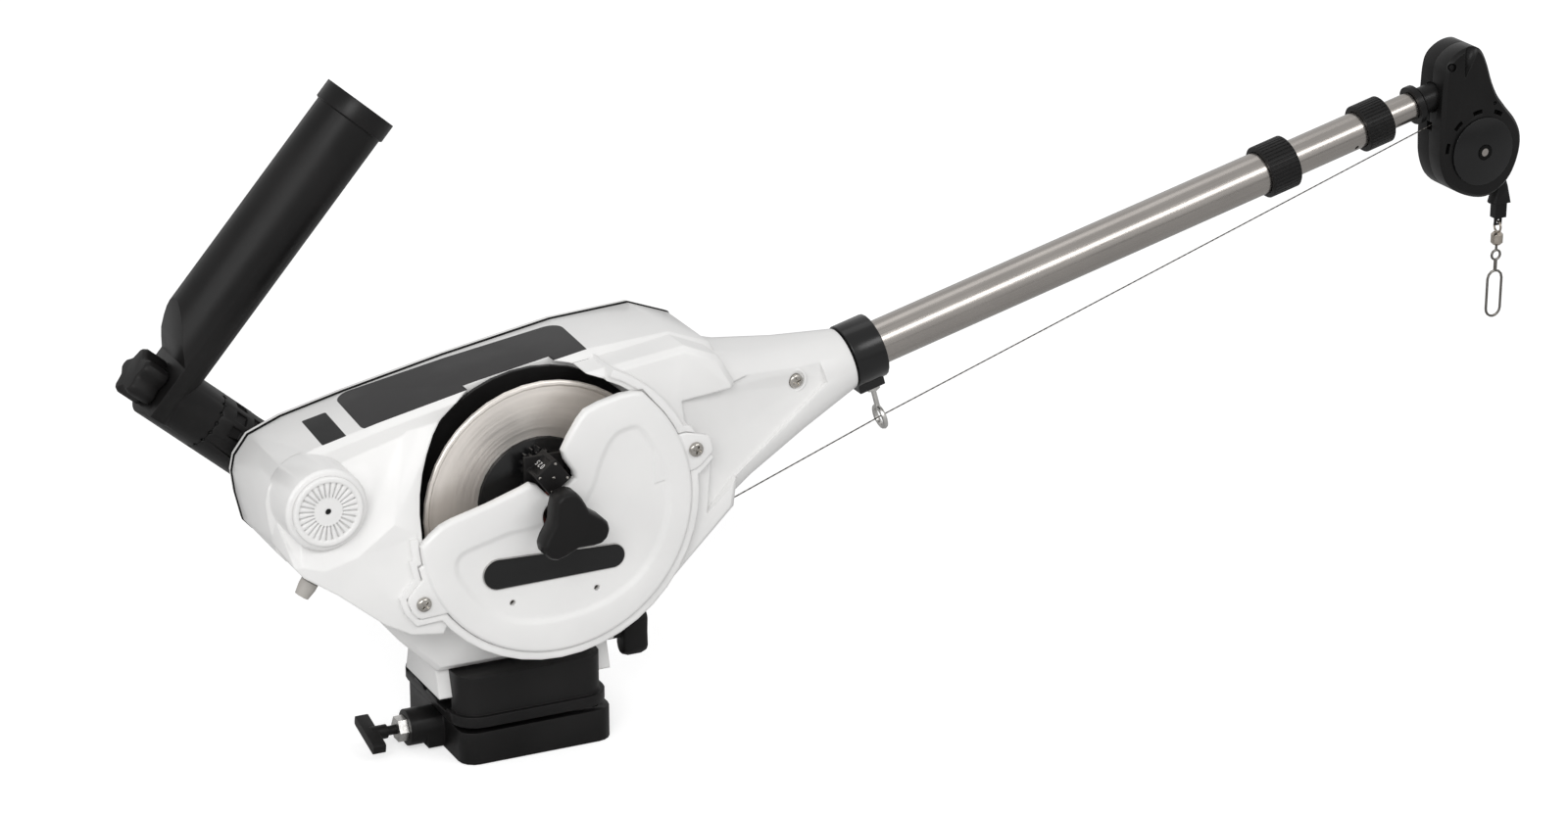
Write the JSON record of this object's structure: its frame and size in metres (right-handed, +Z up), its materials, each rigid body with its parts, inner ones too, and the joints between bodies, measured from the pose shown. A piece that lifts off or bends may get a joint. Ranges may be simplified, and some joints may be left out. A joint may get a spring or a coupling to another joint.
{
  "type": "electric downrigger",
  "caption": "Electric downrigger: swivelling clamp base, reel housing with geared motor drive, telescoping boom, turning pulley head with snap, and rod holder.",
  "frame": {"origin": "centre of the mounting plate's underside, on the swivel axis", "axes": "+X along the boom's reach, +Y away from the reel's cover side, +Z up"},
  "size_m": [1.2659, 0.235, 0.55],
  "materials": {
    "white_shell": "moulded, gloss white",
    "black_plastic": "moulded, satin black",
    "soft_black": "moulded, matt black",
    "gloss_black": "moulded, gloss black",
    "stainless": "polished and lightly brushed stainless steel",
    "steel": "ground steel",
    "zinc": "bright zinc-plated steel",
    "brass": "plain brass",
    "white_gear": "natural acetal",
    "grey_rubber": "soft grey rubber",
    "red_friction": "dark red friction lining",
    "dark_cable": "stranded steel cable"
  },
  "bodies": {
    "base": {"mount_plate": "black_plastic", "pivot_bolt": "stainless", "pull_pin_nut": "zinc"},
    "pin": {"pull_pin": "soft_black"},
    "swivel": {"swivel_track": "black_plastic"},
    "housing": {"front_housing": "white_shell", "back_cover": "white_shell", "seam_gasket": "soft_black", "reel_cover": "white_shell", "cover_screw_right": "stainless", "cover_screw_left": "stainless", "neck_screw": "stainless", "motor_cap": "white_shell", "motor": "steel", "reduction_axle": "steel", "idler_axle": "steel", "front_bearing": "steel", "rear_bearing": "steel", "counter_body": "soft_black", "rod_arm": "black_plastic", "boom_collar": "gloss_black", "eye_nut": "zinc", "eye_bolt": "zinc", "outer_tube": "stainless", "bush_rear": "black_plastic", "cable_lower": "dark_cable", "cable_upper": "dark_cable"},
    "breaker": {"breaker_boot": "grey_rubber"},
    "wing": {"wing_knob": "soft_black"},
    "spool": {"spool_shaft": "stainless", "drive_gear": "white_gear", "spool_drum": "black_plastic", "spool_disc": "stainless", "spool_hub": "gloss_black", "cable_winding": "dark_cable", "clutch_disc": "red_friction"},
    "clutch": {"clutch_knob": "soft_black"},
    "reduction": {"reduction_gear": "white_gear"},
    "idler": {"idler_gear": "white_gear"},
    "pinion": {"motor_pinion": "brass"},
    "counter": {"counter_gear": "white_gear"},
    "rod_holder": {"rod_tube": "black_plastic"},
    "rod_lock": {"rod_knob": "soft_black"},
    "rear_lock": {"lock_collar_rear": "black_plastic"},
    "middle_stage": {"middle_tube": "stainless", "bush_front": "black_plastic"},
    "front_lock": {"lock_collar_front": "black_plastic"},
    "inner_stage": {"inner_tube": "stainless", "end_fitting": "black_plastic"},
    "head": {"head_front": "black_plastic", "head_rear": "black_plastic", "pulley_bolt": "stainless", "pulley_nut": "zinc", "pulley_cap": "gloss_black", "cable_head": "dark_cable"},
    "sheave": {"pulley": "soft_black"},
    "tackle": {"line_stop": "soft_black", "stop_link": "black_plastic", "barrel_swivel": "brass"},
    "snap_hook": {"snap": "zinc"}
  },
  "joints": [
    {"name": "pin_slide", "type": "slide", "parent": "base", "child": "pin", "axis": [1, 0, 0], "range_m": [0, 0.007]},
    {"name": "base_swivel", "type": "hinge", "parent": "base", "child": "swivel", "pos_m": [0, 0, 0.04], "axis": [0, 0, 1], "continuous": true},
    {"name": "track_slide", "type": "slide", "parent": "swivel", "child": "housing", "axis": [1, 0, 0], "range_m": [0, 0.12]},
    {"name": "breaker_press", "type": "slide", "parent": "housing", "child": "breaker", "axis": [0.5611, 0, 0.8278], "range_m": [0, 0.003], "stiffness_N_per_m": 400},
    {"name": "wing_turn", "type": "hinge", "parent": "housing", "child": "wing", "pos_m": [0.1, -0.026, 0.075], "axis": [1, 0, 0], "continuous": true},
    {"name": "spool_spin", "type": "hinge", "parent": "housing", "child": "spool", "pos_m": [0.011, 0, 0.217], "axis": [0, 1, 0], "continuous": true},
    {"name": "clutch_turn", "type": "hinge", "parent": "spool", "child": "clutch", "pos_m": [0.011, 0, 0.217], "axis": [0, 1, 0], "range_deg": [-180, 180]},
    {"name": "idler_spin", "type": "hinge", "parent": "housing", "child": "idler", "pos_m": [-0.0839, 0, 0.22129], "axis": [0, 1, 0], "continuous": true},
    {"name": "reduction_spin", "type": "hinge", "parent": "housing", "child": "reduction", "pos_m": [-0.1223, 0, 0.23249], "axis": [0, 1, 0], "continuous": true},
    {"name": "pinion_spin", "type": "hinge", "parent": "housing", "child": "pinion", "pos_m": [-0.182, 0, 0.251], "axis": [0, 1, 0], "continuous": true},
    {"name": "counter_spin", "type": "hinge", "parent": "housing", "child": "counter", "pos_m": [0.00406, 0, 0.25268], "axis": [0, 1, 0], "continuous": true},
    {"name": "rod_holder_turn", "type": "hinge", "parent": "housing", "child": "rod_holder", "pos_m": [-0.23932, 0.079, 0.29182], "axis": [-0.7554, 0, 0.6553], "range_deg": [-180, 180]},
    {"name": "rod_lock_turn", "type": "hinge", "parent": "rod_holder", "child": "rod_lock", "pos_m": [-0.27709, 0.079, 0.32458], "axis": [-0.7554, 0, 0.6553], "range_deg": [-180, 180]},
    {"name": "rear_lock_turn", "type": "hinge", "parent": "housing", "child": "rear_lock", "pos_m": [0.71023, -0.0166, 0.39245], "axis": [0.9658, 0, 0.2593], "range_deg": [-90, 90]},
    {"name": "middle_slide", "type": "slide", "parent": "housing", "child": "middle_stage", "axis": [0.9658, 0, 0.2593], "range_m": [0, 0.368], "deforming": ["cable_upper"]},
    {"name": "front_lock_turn", "type": "hinge", "parent": "middle_stage", "child": "front_lock", "pos_m": [0.80874, -0.0166, 0.4189], "axis": [0.9658, 0, 0.2593], "range_deg": [-90, 90]},
    {"name": "inner_slide", "type": "slide", "parent": "middle_stage", "child": "inner_stage", "axis": [0.9658, 0, 0.2593], "range_m": [0, 0.368]},
    {"name": "head_swivel", "type": "hinge", "parent": "inner_stage", "child": "head", "pos_m": [0.87345, -0.0166, 0.43628], "axis": [0.9658, 0, 0.2593], "range_deg": [-90, 90]},
    {"name": "pulley_spin", "type": "hinge", "parent": "head", "child": "sheave", "pos_m": [0.921, -0.0166, 0.388], "axis": [0, 1, 0], "continuous": true},
    {"name": "tackle_swing", "type": "hinge", "parent": "head", "child": "tackle", "pos_m": [0.9569, -0.0166, 0.352], "axis": [0, 1, 0], "range_deg": [-40, 20]},
    {"name": "snap_spin", "type": "hinge", "parent": "tackle", "child": "snap_hook", "pos_m": [0.9569, -0.0166, 0.29], "axis": [0, 0, 1], "continuous": true}
  ],
  "couplings": [
    {"joint": "idler_spin", "follows": "spool_spin", "ratio": -2.8},
    {"joint": "reduction_spin", "follows": "spool_spin", "ratio": 4.6667},
    {"joint": "pinion_spin", "follows": "spool_spin", "ratio": -18.667},
    {"joint": "counter_spin", "follows": "spool_spin", "ratio": -2}
  ]
}
